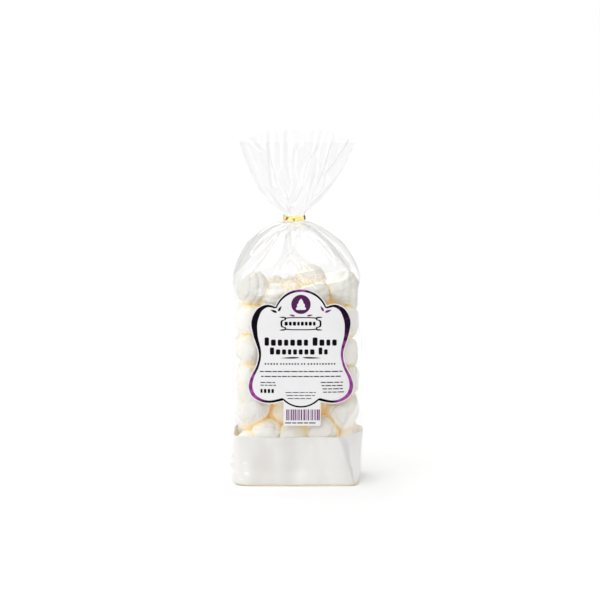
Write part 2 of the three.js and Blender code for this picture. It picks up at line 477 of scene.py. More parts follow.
def meringue_shape(rng):
    """One piped meringue, pointing up from its flat foot: a spiral of thick ridged rope."""
    angle = np.arange(MERINGUE_COLUMNS) / MERINGUE_COLUMNS * 2 * np.pi
    climb = np.linspace(0, 1, MERINGUE_ROWS)[:, None]
    swell = np.sin(np.clip(climb / MERINGUE_WAIST, 0, 1) * np.pi / 2)
    foot = MERINGUE_FOOT + (MERINGUE_RADIUS - MERINGUE_FOOT) * swell
    above = np.clip((climb - MERINGUE_WAIST) / (1 - MERINGUE_WAIST), 0, 1)
    dome = MERINGUE_RADIUS * np.sqrt(np.clip(1 - above ** 2.1, 0, 1))
    radius = np.where(climb < MERINGUE_WAIST, foot, dome)
    turns = rng.uniform(2.7, 3.5)
    start = rng.uniform(0, 1)
    middle_part = smooth(climb, 0.0, 0.12) * (1 - smooth(climb, 0.9, 1.0))
    rope = (turns * climb ** 1.1 - angle / (2 * np.pi) + start) % 1
    groove = 1 - np.sqrt(np.clip(1 - (2 * rope - 1) ** 2, 0, 1))
    lobes = rng.integers(7, 10)
    twist = rng.uniform(1.0, 2.2)
    valley = np.abs(np.cos(0.5 * lobes * (angle + twist * climb) + start)) ** 3
    radius = radius * (1 - middle_part * (0.12 * groove + 0.035 * valley))
    for wave in range(1, 5):
        lean = rng.uniform(0, 2 * np.pi)
        radius = radius * (1 + 0.022 * rng.normal() * np.sin(wave * angle + lean + 4 * climb))
    for _ in range(10):
        around, up, lean = rng.integers(6, 22), rng.uniform(8, 40), rng.uniform(0, 2 * np.pi)
        radius = radius * (1 + 0.008 * rng.normal() * np.sin(around * angle + up * climb + lean))
    height = MERINGUE_HEIGHT * climb ** 0.9
    tip = smooth(climb, 0.8, 1.0) ** 2
    x = radius * np.cos(angle) + 2.5 * tip * np.cos(2 * np.pi * start)
    y = radius * np.sin(angle) + 2.5 * tip * np.sin(2 * np.pi * start)
    points = stack(x, y, height + 0 * angle - 0.43 * MERINGUE_HEIGHT)
    return points, middle_part * (groove * 0.8 + 0.3 * valley)


def turn_to(direction, spin):
    towards = Vector(direction).to_track_quat("Z", "Y").to_matrix()
    return np.array(towards @ Matrix.Rotation(spin, 3, "Z"))


def crevice(points, own, middles, radii):
    """How near each point lies to a neighbour: 1 where they touch, 0 from a few millimetres off."""
    apart = np.linalg.norm(points[..., None, :] - middles, axis=-1) - radii
    apart[..., own] = 99
    return bell(np.maximum(apart.min(axis=-1), 0), 0, CREVICE)


def soft_limit(value, start=0.92):
    """The value up to the start, and above that a rounded approach to 1."""
    room = 1 - start
    return np.where(value > start, start + room * np.tanh((value - start) / room), value)


def press_in(points):
    """Press a meringue flat where it would pass the film or the card, and say how deep it lies."""
    x, y, z = split(points)
    half_x, half_y, square, _ = outline(z, x)
    in_card = 1 - smooth(z, BAND_TOP - 2, BAND_TOP + 24)
    clear = FILM_GAP + CARD_GAP * in_card
    inside = share_out(x, y, half_x - clear, half_y - clear, square)
    points[..., :2] *= (soft_limit(inside) / inside)[..., None]
    points[..., :2] *= corner_cut(points, clear + 0.6)[..., None]
    dent = (DENT_GAP + card_wave(x, z)) / HALF_DEPTH
    reach = front_depth(x, z) * (1 - dent)
    pressed = reach * np.sign(y) * soft_limit(np.abs(y) / np.maximum(reach, 1))
    y[:] = mix(y, pressed, in_card)
    z[:] = np.maximum(z, HEAP_FLOOR)
    return np.minimum(half_x - np.abs(x), half_y - np.abs(y))


def heap_name(middle):
    side = "front" if middle[1] < 0 else "back"
    level = "low" if middle[2] < HEAP_TOP / 2 else "high"
    return "meringues_" + side + "_" + level


def make_meringues(rng, middles, radii):
    """All meringues as four joined meshes: the front and back of the heap, low and high."""
    parts = {}
    for i, (middle, radius) in enumerate(zip(middles, radii)):
        points, hollow = meringue_shape(rng)
        direction = SHOWN[i][2] if i < len(SHOWN) else rng.normal(size=3)
        points = points * (radius / MERINGUE_UNIT) @ turn_to(direction, rng.uniform(0, 6.28)).T + middle
        depth = press_in(points)
        buried = smooth(HEAP_TOP - points[..., 2], 4, 34)
        near = crevice(points, i, middles, radii)
        # Painted shade: warmer and darker near touching neighbours and deep in the heap, less so near its
        # top.
        warm = (0.55 * near * smooth(depth, 2, 14) + 0.5 * smooth(depth, 12, 32)) * (0.25 + 0.75 * buried)
        # The piped grooves get painted shade too; the random part is each meringue's own tone.
        warm += 0.16 * hollow + 0.13 * rng.random()
        # Painted glow: an emission deep in the heap that stands in for light passing through the
        # meringues.
        glow = smooth(depth, 4, 15) * buried
        # Each meringue's own tone varies at random; those near the heap's top are darkened a tenth more,
        # painted shade for the dimmer light there.
        shade = rng.uniform(0.9, 0.98) * (1 - 0.1 * (1 - smooth(HEAP_TOP - middle[2], 22, 40)))
        row = (points, warm, np.full(warm.shape, shade), glow)
        parts.setdefault(heap_name(middle), []).append(row)
    faces = capped_faces(MERINGUE_ROWS, MERINGUE_COLUMNS)
    made = []
    for name, rows in sorted(parts.items()):
        points, warm, shade, glow = [np.concatenate(column) for column in zip(*rows)]
        starts = [k * MERINGUE_ROWS * MERINGUE_COLUMNS for k in range(len(rows))]
        all_faces = [[v + start for v in face] for start in starts for face in faces]
        piece = new_object(name, points, all_faces, MERINGUE)
        add_values(piece, warmth=warm, shade=shade, glow=glow)
        made.append(piece)
    return made


# ---------------- the film, as relaxed cloth
FILM_COLUMNS = 160
# The film's length round the body, and round its gathered end, as shares of the outline's.
FILM_SLACK = 1.012
FILM_EXCESS = 1.3
FILM_STEPS = 240
FILM_PRESSURE = 0.002
FILM_BEND = 0.025
FILM_DAMPING = 0.93
TIED_HALF = 2.4
FILM_SEED = 5
# Depths of the folds that the film starts with.
PLEAT_DEPTH = 2.6
FACET_DEPTH = 3.0
CRUMPLE = 1.6
DENT_DEPTH = 3.0
# The fold across the front above the heap: its height, how it climbs to the right, and its depth.
FOLD_MIDDLE = 199.0
FOLD_SLOPE = 0.2
FOLD_DEPTH = 8.0
CORNER_CREASE = 0.8
# Points further than this off their neighbours are moved back.
SPIKE = 0.45
FILM_FOOT = 0.12
# How far the film may stray outside and inside the outline while it relaxes.
OUTER_PLAY = 0.8
INNER_PLAY = 0.5
# The front lies flat under the label, over this half width and up to this height.
FLAT_HALF = 50.0
FLAT_TOP = LABEL_HIGH[2] + 4


def hold(a, b, rest, stiff, only_short=False):
    """Move pairs of points towards their rest distance."""
    apart = b - a
    length = np.sqrt((apart * apart).sum(-1, keepdims=True)) + 1e-9
    change = (length - rest) / length
    if only_short:
        change = np.minimum(change, 0)
    apart *= 0.5 * stiff * change
    a += apart
    b -= apart


def hold_around(points, step, rest, stiff, only_short=False):
    """Hold each point and the one some steps round from it."""
    rows, columns, _ = points.shape
    for phase in range(2):
        turned = np.roll(points, -phase * step, axis=1)
        pairs = turned.reshape(rows, columns // (2 * step), 2, step, 3)
        hold(pairs[:, :, 0], pairs[:, :, 1], rest[:, :, None, None], stiff, only_short)
        points[:] = np.roll(turned, phase * step, axis=1)


def hold_along(points, step, rest, stiff, only_short=False):
    """Hold each point and the one some rows above it."""
    rows, columns, _ = points.shape
    for phase in range(2):
        start = phase * step
        blocks = (rows - start) // (2 * step)
        used = slice(start, start + blocks * 2 * step)
        pairs = points[used].reshape(blocks, 2, step, columns, 3)
        length = rest[used].reshape(blocks, 2, step, columns, 1)[:, 0]
        hold(pairs[:, 0], pairs[:, 1], length, stiff, only_short)


def hold_across(points, rest, stiff):
    """Hold each point and its two slanting neighbours in the next row."""
    rows = points.shape[0]
    for phase in range(2):
        last = phase + (rows - phase) // 2 * 2
        for turn in (1, -1):
            turned = np.roll(points[phase + 1:last:2], -turn, axis=1)
            hold(points[phase:last:2], turned, rest[phase:last:2][:, :, None], stiff)
            points[phase + 1:last:2] = np.roll(turned, turn, axis=1)


def normals_of(points):
    around = np.roll(points, -1, 1) - np.roll(points, 1, 1)
    along = np.gradient(points, axis=0)
    return unit(np.cross(around, along))


def cut_length(z, half_x, half_y, square):
    """The way round the bag at one height, the slanted corner facet included."""
    x, y, _ = ring(400, half_x, half_y, square)
    points = stack(x, y, np.full(400, z))
    points[:, :2] *= corner_cut(points, FACET_FILM)[:, None]
    return np.linalg.norm(points - np.roll(points, 1, 0), axis=-1).sum()


def film_levels():
    """Height against length of film, and the outline's length, from the foot to the lip."""
    z = np.concatenate([
        np.linspace(0, SHOULDER, 60)[:-1], np.linspace(SHOULDER, NECK_LOW, 80)[:-1],
        np.linspace(NECK_LOW, NECK_HIGH, 10)[:-1], np.linspace(NECK_HIGH, LIP_HEIGHT + 10, 90)])
    half_x, half_y, square, _ = outline(z)
    length = np.array([cut_length(*row) for row in zip(z, half_x, half_y, square)])
    side = np.hypot(np.diff(z), np.diff(half_x))
    front = np.hypot(np.diff(z), np.diff(half_y))
    path = np.concatenate([[0], np.cumsum((side + front) / 2)])
    return z, path, length


def first_film(rng, z, columns):
    """The film as it starts: on the outline, with its first folds."""
    half_x, half_y, square, offset = outline(z)
    points = np.empty((len(z), columns, 3))
    for j in range(len(z)):
        x, y, _ = ring(columns, half_x[j], half_y[j], square[j])
        points[j] = stack(x + offset[j], y, np.full(columns, z[j]))
    points[..., :2] *= corner_cut(points, FACET_FILM)[..., None]
    out = unit(points[..., :2] - stack(offset, 0 * offset)[:, None])
    points[..., :2] += out * first_folds(rng, points, z)[..., None]
    return points


def first_folds(rng, points, z):
    """Outward shift of each point: pleats by the tie, facets on the shoulders, a dent at the front."""
    columns = points.shape[1]
    turn = np.arange(columns) / columns * 2 * np.pi
    level = z[:, None]
    away = np.abs(level - TIE_HEIGHT)
    pleats = np.zeros((len(z), columns))
    for count in range(9, 46):
        lean = rng.uniform(0, 2 * np.pi) + rng.normal() * 0.006 * (level - TIE_HEIGHT)
        near = 1 - smooth(away, 95 - 1.4 * count, 110 - 1.4 * count)
        pleats += rng.normal() / 5.5 * np.sin(count * turn + lean) * near
    facets = np.zeros_like(pleats)
    for count in (2.5, 3.5, 4.5, 6.5):
        lean = rng.uniform(0, np.pi) + rng.normal() * 0.008 * (level - SHOULDER)
        facets += np.abs(np.sin(count * turn + lean)) - 0.6
    crumple = np.zeros_like(pleats)
    for _ in range(24):
        count, lean, tall = rng.integers(4, 18), rng.uniform(0, 2 * np.pi), rng.uniform(0.08, 0.3)
        crumple += rng.normal() / 5 * np.sin(count * turn + lean + rng.choice([-1, 1]) * tall * level)
    dome = smooth(level, 178, 205) * (1 - smooth(level, NECK_LOW - 8, NECK_LOW))
    fan = smooth(level, NECK_HIGH, NECK_HIGH + 20)
    x, y, _ = split(points)
    dent = bell(level, HEAP_TOP - 2 + 0.1 * x, 4.0) * smooth(-y, 12, 26) * smooth(x, -45, -20)
    body = smooth(level, 20, 60) * (1 - dome)
    shift = PLEAT_DEPTH * pleats * (dome + 0.8 * fan) + FACET_DEPTH * facets * dome
    return shift + CRUMPLE * crumple * (0.35 * body + dome + 0.35 * fan) - DENT_DEPTH * dent


def finer_film(rng, points, rows):
    """The same film with twice the columns and more rows, and a touch of noise."""
    at = np.linspace(0, points.shape[0] - 1, rows)
    low = np.minimum(at.astype(int), points.shape[0] - 2)
    part = (at - low)[:, None, None]
    stretched = points[low] * (1 - part) + points[low + 1] * part
    fine = np.empty((rows, points.shape[1] * 2, 3))
    fine[:, 0::2] = stretched
    fine[:, 1::2] = (stretched + np.roll(stretched, -1, 1)) / 2
    return fine + rng.normal(size=fine.shape) * 0.02


def keep_inside(points):
    """The outline holds the film in, and the heap, the label and the card band hold it out."""
    x, y, z = split(points)
    half_x, half_y, square, offset = outline(z, x)
    across = x - offset
    far = share_out(across, y, half_x + OUTER_PLAY, half_y + OUTER_PLAY, square)
    pull = 1 + (1 / np.maximum(far, 1) - 1) * 0.5
    x[:] = offset + across * pull
    y *= pull
    inner = share_out(x, y, half_x - INNER_PLAY, half_y - INNER_PLAY, square)
    points[..., :2] *= corner_cut(points, FACET_FILM)[..., None]
    flat = (np.abs(across - LABEL_MIDDLE) < FLAT_HALF) & (z < FLAT_TOP)
    y[:] = np.where(flat, np.maximum(y, 0.1 - front_depth(x, z)), y)
    filled = (inner < 1) & (z < SHOULDER - 6)
    points[..., :2] *= np.where(filled, 1 / np.maximum(inner, 0.2), 1)[..., None]


def spare_film(points, z):
    """Extra film, as a share, that folds into a soft ridge across the front above the heap."""
    x, y, _ = split(points)
    level = z[:, None]
    ridge = bell(level, HEAP_TOP - 3 + 0.1 * x, 4.5) * smooth(-y, 5, 20) * smooth(x, -45, -20)
    creases = 0.06 * np.sin(0.5 * level + 0.21 * x) * smooth(level, 170, 200)
    return 0.3 * ridge + np.maximum(creases, 0)


def relax_film(points, z, path_step, width, steps):
    """Let the film find its rest, tied at the neck and held at its foot."""
    around = width[:, None]
    along = path_step * (1 + spare_film(points, z))
    diagonal = np.sqrt(around ** 2 + path_step ** 2)
    push = FILM_PRESSURE * (z < TIE_HEIGHT)[:, None, None]
    tied = np.abs(z - TIE_HEIGHT) <= TIED_HALF
    tie_points = points[tied].copy()
    foot = points[:2].copy()
    before = points.copy()
    for _ in range(steps):
        moving = (points - before) * FILM_DAMPING
        before = points.copy()
        points += moving + normals_of(points) * push
        hold_around(points, 1, around, 1.0)
        hold_along(points, 1, along, 1.0)
        hold_across(points, diagonal, 0.7)
        for step, share in ((2, 1.0), (4, 0.5)):
            hold_around(points, step, step * around, FILM_BEND * share, True)
            hold_along(points, step, step * along, 2 * FILM_BEND * share, True)
        keep_inside(points)
        points[tied] = tie_points
        points[:2] = foot


def shape_lip(points, z):
    """Raise the fan's edge into its arc: high at the back, lower at the front and the corners."""
    lip = points[-1]
    across = np.clip(lip[:, 1] / FAN_HALF[1], -1, 1)
    target = LIP_HEIGHT + np.where(across > 0, 11.5, 3.0) * across ** 2
    window = np.ones(13) / 13
    rise = np.convolve(np.pad(target - lip[:, 2], 6, "wrap"), window, "valid")
    share = np.clip((z - NECK_HIGH) / (LIP_HEIGHT - NECK_HIGH), 0, 1.1) ** 1.5
    points[..., 2] += share[:, None] * rise
    points[..., 2] = np.minimum(points[..., 2], BAG_HIGH[2])


def calm_spikes(points):
    """Move points that stand far off their neighbours back among them."""
    for _ in range(6):
        around = (np.roll(points, 1, 1) + np.roll(points, -1, 1)) / 2
        along = points.copy()
        along[1:-1] = (points[2:] + points[:-2]) / 2
        middle = (around + along) / 2
        off = np.linalg.norm(points - middle, axis=-1)
        points[:] = np.where((off > SPIKE)[..., None], middle, points)


def smooth_foot(points):
    """Take the small creases out of the film over the card's front, its facet and the right side."""
    x, y, z = split(points)
    facet = smooth(x, 34, 42) * smooth(-y, -4, 4) * (1 - smooth(z, 66, 84))
    card = smooth(-y, 0, 12) * (1 - smooth(z, BAND_TOP - 8, BAND_TOP + 6))
    side = smooth(x, 46, 54) * bell(z, 171, 12)
    share = 0.5 * np.maximum(np.maximum(facet, card), side)[1:-1, :, None]
    for _ in range(16):
        around = np.roll(points, 1, 1) + np.roll(points, -1, 1)
        middle = (around[1:-1] + points[2:] + points[:-2]) / 4
        points[1:-1] += share * (middle - points[1:-1])


def fold_front(points):
    """A fold across the front above the heap: the film leans in up to it and tucks out again."""
    x, y, z = split(points)
    above = z - (FOLD_MIDDLE + FOLD_SLOPE * x + 0.8 * np.sin(x / 7))
    inward = np.interp(above, [-11, -1, 1.5, 15], [0, 1, 0.25, 0])
    place = smooth(x, -44, -28) * (1 - smooth(x, 40, 52)) * smooth(-y, 8, 22)
    points[..., 1] += FOLD_DEPTH * inward * place


def crumple_corner(points):
    """Slanting creases in the film at the lower left corner, and upright ones at the lower right."""
    x, y, z = split(points)
    left = smooth(-x, 38, 50) * (1 - smooth(z, 16, 34)) * smooth(z, 1, 5)
    right = smooth(x, 46, 54) * (1 - smooth(z, 12, 22)) * smooth(z, 1, 5)
    slanting = np.abs(np.sin((z + 0.5 * x) / 2.9)) + 0.6 * np.abs(np.sin((z - 0.35 * x + 4) / 3.7))
    upright = np.abs(np.sin((x - 0.5 * y) / 2.3))
    outward = CORNER_CREASE * ((slanting - 1.0) * left + 0.5 * (upright - 0.6) * right)
    points[..., :2] *= (1 + outward / HALF_DEPTH)[..., None]


def make_film(rng):
    """The film's points in rows from foot to lip, and their heights: relaxed coarsely, then finely."""
    levels, path, length = film_levels()
    _, _, body_length = ring(8, HALF_WIDTH * FILM_SLACK, HALF_DEPTH * FILM_SLACK, SQUARENESS)
    lip_path = np.interp(LIP_HEIGHT + 4, levels, path)
    for level in range(2):
        columns = FILM_COLUMNS * 2 ** level
        spacing = body_length / columns
        rows = int(round(lip_path / spacing / 4)) * 4 + 1
        run = np.linspace(0, lip_path, rows)
        z = np.interp(run, path, levels)
        own = FILM_SLACK * np.interp(z, levels, length) / body_length
        gathered = np.minimum(1, FILM_EXCESS * own)
        width = spacing * np.where(z < SHOULDER - 12, own, gathered)
        points = finer_film(rng, points, rows) if level else first_film(rng, z, columns)
        relax_film(points, z, run[1], width, FILM_STEPS // (level + 1))
    calm_spikes(points)
    smooth_foot(points)
    fold_front(points)
    crumple_corner(points)
    shape_lip(points, z)
    points[..., 2] = np.maximum(points[..., 2], FILM_FOOT)
    return points, z


def add_film(rng):
    """The film as two pieces that meet inside the tie, its fine creases faded over the card."""
    points, z = make_film(rng)
    tie_row = int(np.argmin(np.abs(z - TIE_HEIGHT)))
    pieces = []
    halves = [("film_bag", points[:tie_row + 1], FILM), ("film_fan", points[tie_row:], FAN_FILM)]
    for name, part, material in halves:
        piece = new_object(name, part, grid_faces(*part.shape[:2]), material)
        add_values(piece, crease=mix(0.15, 1.0, smooth(part[..., 2], BAND_TOP - 4, BAND_TOP + 14)))
        pieces.append(piece)
    return pieces


# ---------------- card band, board and tie
# Heights of the sleeve's rows on their own scale, closer together at its two edges.
BAND_LEVELS = np.array([0, 1, 3, 6, 9, 12, 16, 20, 24, 28, 32, 36, 39, 42, 44, 45.6, 46.2, 46.6])
BAND_COLUMNS = 220
BAND_GAP = 0.3
BAND_INSET = 1.0
CARD_THICKNESS = 0.7
# The board's rounded edge from below, as (inset, height).
BOARD_EDGE = [(1.2, 0.25), (0.3, 0.25), (0.05, 0.4), (0.0, 0.7), (0.05, 1.1), (0.3, 1.25), (1.2, 1.25)]
BOARD_COLUMNS = 160
BOARD_SQUARENESS = 9.0
# The front of the strip's section, as shares of its half height and half thickness.
STRIP_FRONT = [(-1, 1), (-0.5, 1.5), (0, 1), (0.5, 1.5), (1, 1)]
STRIP_THICKNESS = 0.4
STRIP_ENDS = (-13.4, 7.4)
LOOP_POINTS = 90
LOOP_GAP = 0.9
LOOP_HALF = 1.5


def make_band():
    """A white card sleeve with a slightly uneven top edge, hollow inside, its inner wall given a painted
    glow.
    """
    turn = np.arange(BAND_COLUMNS) / BAND_COLUMNS * 2 * np.pi
    height = BAND_TOP - BOARD_HIGH[2] - 2 * BAND_GAP
    walls = ((BAND_INSET, BAND_LEVELS), (BAND_INSET + CARD_THICKNESS, BAND_LEVELS[::-1]))
    rows = []
    for inset, levels in walls:
        for level in levels:
            z = BOARD_HIGH[2] + BAND_GAP + level * height / BAND_LEVELS[-1]
            half_x, half_y, square, _ = outline(z)
            x, y, _ = ring(BAND_COLUMNS, half_x, half_y, square)
            bulge = side_bulge(x, z) - side_bulge(0.0, z)
            x = x * (1 + (bulge - inset) / half_x)
            y = y * (1 - (inset + card_wave(x, z)) / half_y)
            edge = z + 0.35 * np.sin(5 * turn + 1) * smooth(z, 30, BAND_TOP)
            row = stack(x, y, edge)
            row[:, :2] *= corner_cut(row, inset)[:, None]
            rows.append(row)
    count = len(rows) * BAND_COLUMNS
    faces = [[v % count for v in face] for face in grid_faces(len(rows) + 1, BAND_COLUMNS)]
    piece = new_object("card_sleeve", rows, faces, CARD)
    # The inner wall gets a painted glow: emission that stands in for light inside the sleeve.
    add_values(piece, glow=np.repeat([0.0, 1.0], count // 2))
    return piece


def make_board():
    """A gold board with a rounded edge, on the film's foot."""
    half_x, half_y = (BOARD_HIGH - BOARD_LOW)[:2] / 2
    rows = []
    for inset, z in BOARD_EDGE:
        x, y, _ = ring(BOARD_COLUMNS, half_x - inset, half_y - inset, BOARD_SQUARENESS)
        rows.append(stack(x, y, np.full(BOARD_COLUMNS, z)))
    faces = capped_faces(len(rows), BOARD_COLUMNS)
    return new_object("gold_board", rows, faces, BOARD_GOLD, False)


def strip_mesh(name, middle, twist, half_height, back=1.0):
    """A thin foil strip that stands on edge along a path, with its back marked for painted shade."""
    along = unit(np.gradient(middle, axis=0))
    side = unit(np.cross(along, [0.0, 0.0, 1.0]))
    up = np.cross(side, along)
    cos, sin = np.cos(twist)[:, None], np.sin(twist)[:, None]
    tall = (up * cos + side * sin) * half_height[:, None]
    flat = (side * cos - up * sin) * STRIP_THICKNESS / 2
    section = STRIP_FRONT + [(a, -b) for a, b in STRIP_FRONT[::-1]]
    points = np.stack([middle + tall * a + flat * b for a, b in section], axis=1)
    faces = capped_faces(len(middle), len(section))
    piece = new_object(name, points, faces, STRIP_GOLD, False)
    add_values(piece, back=np.tile([back * (b < 0) for _, b in section], len(middle)))
    return piece


def make_tie():
    """A gold strip round the neck and a second turn in front that twists twice and ends cut."""
    turn = np.linspace(0, 2 * np.pi, LOOP_POINTS)
    half_x, half_y = np.array(NECK_HALF) + LOOP_GAP
    level = TIE_HEIGHT - 0.3 + 0.4 * np.cos(turn)
    loop = stack(NECK_OFFSET + half_x * np.cos(turn), half_y * np.sin(turn), level)
    x = np.linspace(*STRIP_ENDS, 130)
    places = [STRIP_ENDS[0], -10, -6.2, -1.4, 2.4, STRIP_ENDS[1]]
    droop = np.interp(x, places, [1.4, 0.2, -1.7, -0.9, 0.3, 1.1])
    droop = np.convolve(np.pad(droop, 8, "edge"), np.ones(17) / 17, "valid")
    forward = half_y + 0.7 + 0.5 * bell(x, -4, 5) - 3.2 * smooth(-x, 10.5, 14)
    front = stack(x, -forward, TIE_HEIGHT + droop)
    flips = smooth(x, -11.4, -8.6) + smooth(x, -4.8, -1.9) + 0.5 * smooth(x, 5.6, 6.6)
    tall = 1.9 - 0.35 * bell(x, -6.5, 3) + 0.3 * smooth(x, -2, 2)
    return [
        strip_mesh("tie_loop", loop, 0 * turn, np.full(LOOP_POINTS, LOOP_HALF), 0.0),
        strip_mesh("tie_front", front, -2 * np.pi * flips, tall),
    ]


# ---------------- label
LABEL_LIFT = 0.5
INK_LIFT = 0.12
PAPER_MARGIN = 1.0
SHEET_GRID = 3.0
PRINT_SEED = 4
# The arch and the tongue of the border's outer edge, as (half width, height of the ends, rise).
ARCH = (23.5, 171.6, 16.4)
TONGUE = (16.5, 82.9, -6.9)
ARCH_POINTS = 41
TONGUE_POINTS = 31
# The edge between them, as (half width, height): shoulder, waist and hip.
SHOULDER_CURVE = [
    (23.5, 171.6), (32, 173.6), (41, 169), (46.2, 158), (44.6, 145), (39.6, 128.5),
    (41.2, 116.5), (47, 104.5), (49, 95), (45.6, 86.5), (37.5, 81.6), (28, 80.6), (16.5, 82.9)]
BORDER_WIDTH = 1.5
# Where the border swells between shoulder and tongue, as (extra width, place, spread).
BORDER_SWELLS = ((4.2, 0.24, 0.13), (2.0, 0.7, 0.17), (0.8, 1.0, 0.08))
# The round emblem's middle, its radius, and the drawn sweet's foot, height and width.
EMBLEM = (0.0, 174.0)
EMBLEM_RADIUS = 9.0
SWEET = (168.8, 10.5, 9.6)
# The name plate's middle, half width and half height, and its line's width at the sides and above.
PLAQUE = (0.0, 155.8, 19.3, 6.2)
PLAQUE_LINE = (1.7, 0.9)
# The small patch's middle, half width, top and corner radius.
PATCH = (1.0, 17.5, 84.0, 1.5)
DARK_TONE, SOFT_TONE, DISC_TONE, PURPLE_TONE = 0.08, 0.22, 0.56, 0.7


def curve_through(points, per_span):
    """A smooth curve through every point (a Catmull-Rom spline)."""
    p = np.array([points[0], *points, points[-1]], float)
    rows = []
    for i in range(1, len(p) - 2):
        t = np.linspace(0, 1, per_span, endpoint=False)[:, None]
        a, b, c, d = p[i - 1], p[i], p[i + 1], p[i + 2]
        rows.append(0.5 * (2 * b + (c - a) * t + (2 * a - 5 * b + 4 * c - d) * t ** 2
                           + (3 * b - a - 3 * c + d) * t ** 3))
    return np.concatenate(rows + [p[-1:]])


def arc_over(half, base, sag, count):
    """An arc from (half, base) to (-half, base) that stands sag above the base."""
    radius = (half ** 2 + sag ** 2) / (2 * abs(sag))
    swing = math.asin(min(1.0, half / radius))
    turn = np.linspace(swing, -swing, count)
    return stack(radius * np.sin(turn), base + sag - np.sign(sag) * radius * (1 - np.cos(turn)))


def border_loop():
    """The border's outer edge, clockwise from the left cusp, and its thickness at each point."""
    side = curve_through(SHOULDER_CURVE, 9)
    along = np.linspace(0, 1, len(side))
    swells = sum(extra * bell(along, place, spread) for extra, place, spread in BORDER_SWELLS)
    side_width = (BORDER_WIDTH + swells)[1:-1]
    left = side[::-1] * [-1, 1]
    loop = np.concatenate([
        arc_over(*ARCH, ARCH_POINTS)[::-1], side[1:-1], arc_over(*TONGUE, TONGUE_POINTS), left[1:-1]])
    arch_width = 1.3 + 0.9 * np.sin(np.linspace(0, np.pi, ARCH_POINTS))
    tongue_width = np.full(TONGUE_POINTS, BORDER_WIDTH)
    return loop, np.concatenate([arch_width, side_width, tongue_width, side_width[::-1]])


def inset_loop(loop, width):
    x, z = split(unit(np.roll(loop, -1, 0) - np.roll(loop, 1, 0)))
    return loop + stack(z, -x) * width[:, None]


def on_label(points, lift):
    """Flat (x, z) points laid on the curved front of the bag."""
    x = points[:, 0] + LABEL_MIDDLE
    z = points[:, 1]
    return stack(x, -front_depth(x, z) - LABEL_LIFT - lift, z)


def paper_sheet(name, loop, lift):
    """A sheet of paper laid on the front, cut fine enough to follow the bag's curve."""
    starts = np.ceil(loop.min(0) / SHEET_GRID) * SHEET_GRID
    across, up = [np.arange(*ends, SHEET_GRID) for ends in zip(starts, loop.max(0))]
    corners = list(loop) + [(x, z) for x in across for z in up]
    found = delaunay_2d_cdt([Vector(c) for c in corners], [], [list(range(len(loop)))], 1, 1e-4)
    flat = np.array([tuple(v) for v in found[0]])
    return new_object(name, on_label(flat, lift), found[2], PAPER)


def border_tone_and_sheen(points):
    """The border's tone, with painted reflection of its foil: near black at the cusps and the tongue,
    purple on the arch, the hips and the right side.
    """
    x, z = points[:, 0], points[:, 1]
    arch = 0.8 * bell(x, 0, 15) * smooth(z, 172, 180)
    right = smooth(x, 22, 38) * (0.42 + 0.5 * smooth(-z, -155, -118))
    left = smooth(-x, 26, 42) * (0.12 + 0.68 * smooth(-z, -128, -102))
    mottle = 0.12 * np.sin(0.9 * x + 0.7 * z) + 0.1 * np.sin(0.5 * x - 0.83 * z)
    tone = arch + right + left
    return np.clip(tone + mottle * (0.3 + tone), 0.02, 1)


def rounded_box(x, z, half_x, half_z, corner):
    turn = np.linspace(0, np.pi / 2, 5)
    rows = []
    for k, (sx, sz) in enumerate(((1, 1), (-1, 1), (-1, -1), (1, -1))):
        a = turn + k * np.pi / 2
        rows.append(stack(
            x + sx * (half_x - corner) + corner * np.cos(a),
            z + sz * (half_z - corner) + corner * np.sin(a)))
    return np.concatenate(rows)


def lens(start, end, width):
    """A leaf shape from one point to another, fattest nearer its start."""
    start, end = np.array(start), np.array(end)
    along = end - start
    across = np.array([-along[1], along[0]]) / np.linalg.norm(along)
    t = np.linspace(0, 1, 9)[:, None]
    swell = width / 2 * np.sin(np.pi * t ** 0.7)
    upper = start + along * t + across * swell
    lower = start + along * t - across * swell
    return np.concatenate([upper, lower[-2:0:-1]])


def word_row(rng, left, right, z, height, block, gap, words, tall_first=False):
    """Plain rounded blocks in the rhythm of a line of print, with nothing written."""
    shapes = []
    places = np.arange(2, max(3, int((right - left) / (block + gap)) - 1))
    breaks = rng.choice(places, words - 1, False)
    x = left
    count = 0
    while x + block <= right + 0.01:
        first = count == 0 or count in breaks
        if count in breaks:
            x += block * 0.6
        rise = 0.35 * height if tall_first and first else 0
        wide = block * rng.uniform(0.85, 1.15)
        corner = 0.3 * min(block, height)
        shapes.append(rounded_box(x + wide / 2, z + rise / 2, wide / 2, (height + rise) / 2, corner))
        x += wide + gap
        count += 1
    return shapes


def bar_row(rng, left, right, z, height):
    """Thin bars of uneven length."""
    shapes = []
    x = left
    while x < right - 1.5:
        wide = min(rng.uniform(2.2, 6.5), right - x)
        shapes.append(rounded_box(x + wide / 2, z, wide / 2, height / 2, height * 0.3))
        x += wide + 0.9
    return shapes


def stripes(rng, left, right, low, high):
    """Upright stripes of uneven width, which carry no code."""
    shapes = []
    x = left
    while x < right - 0.4:
        wide = rng.choice([0.45, 0.8, 1.2])
        shapes.append(rounded_box(x + wide / 2, (low + high) / 2, wide / 2, (high - low) / 2, 0.05))
        x += wide + rng.choice([0.45, 0.7, 1.0])
    return shapes


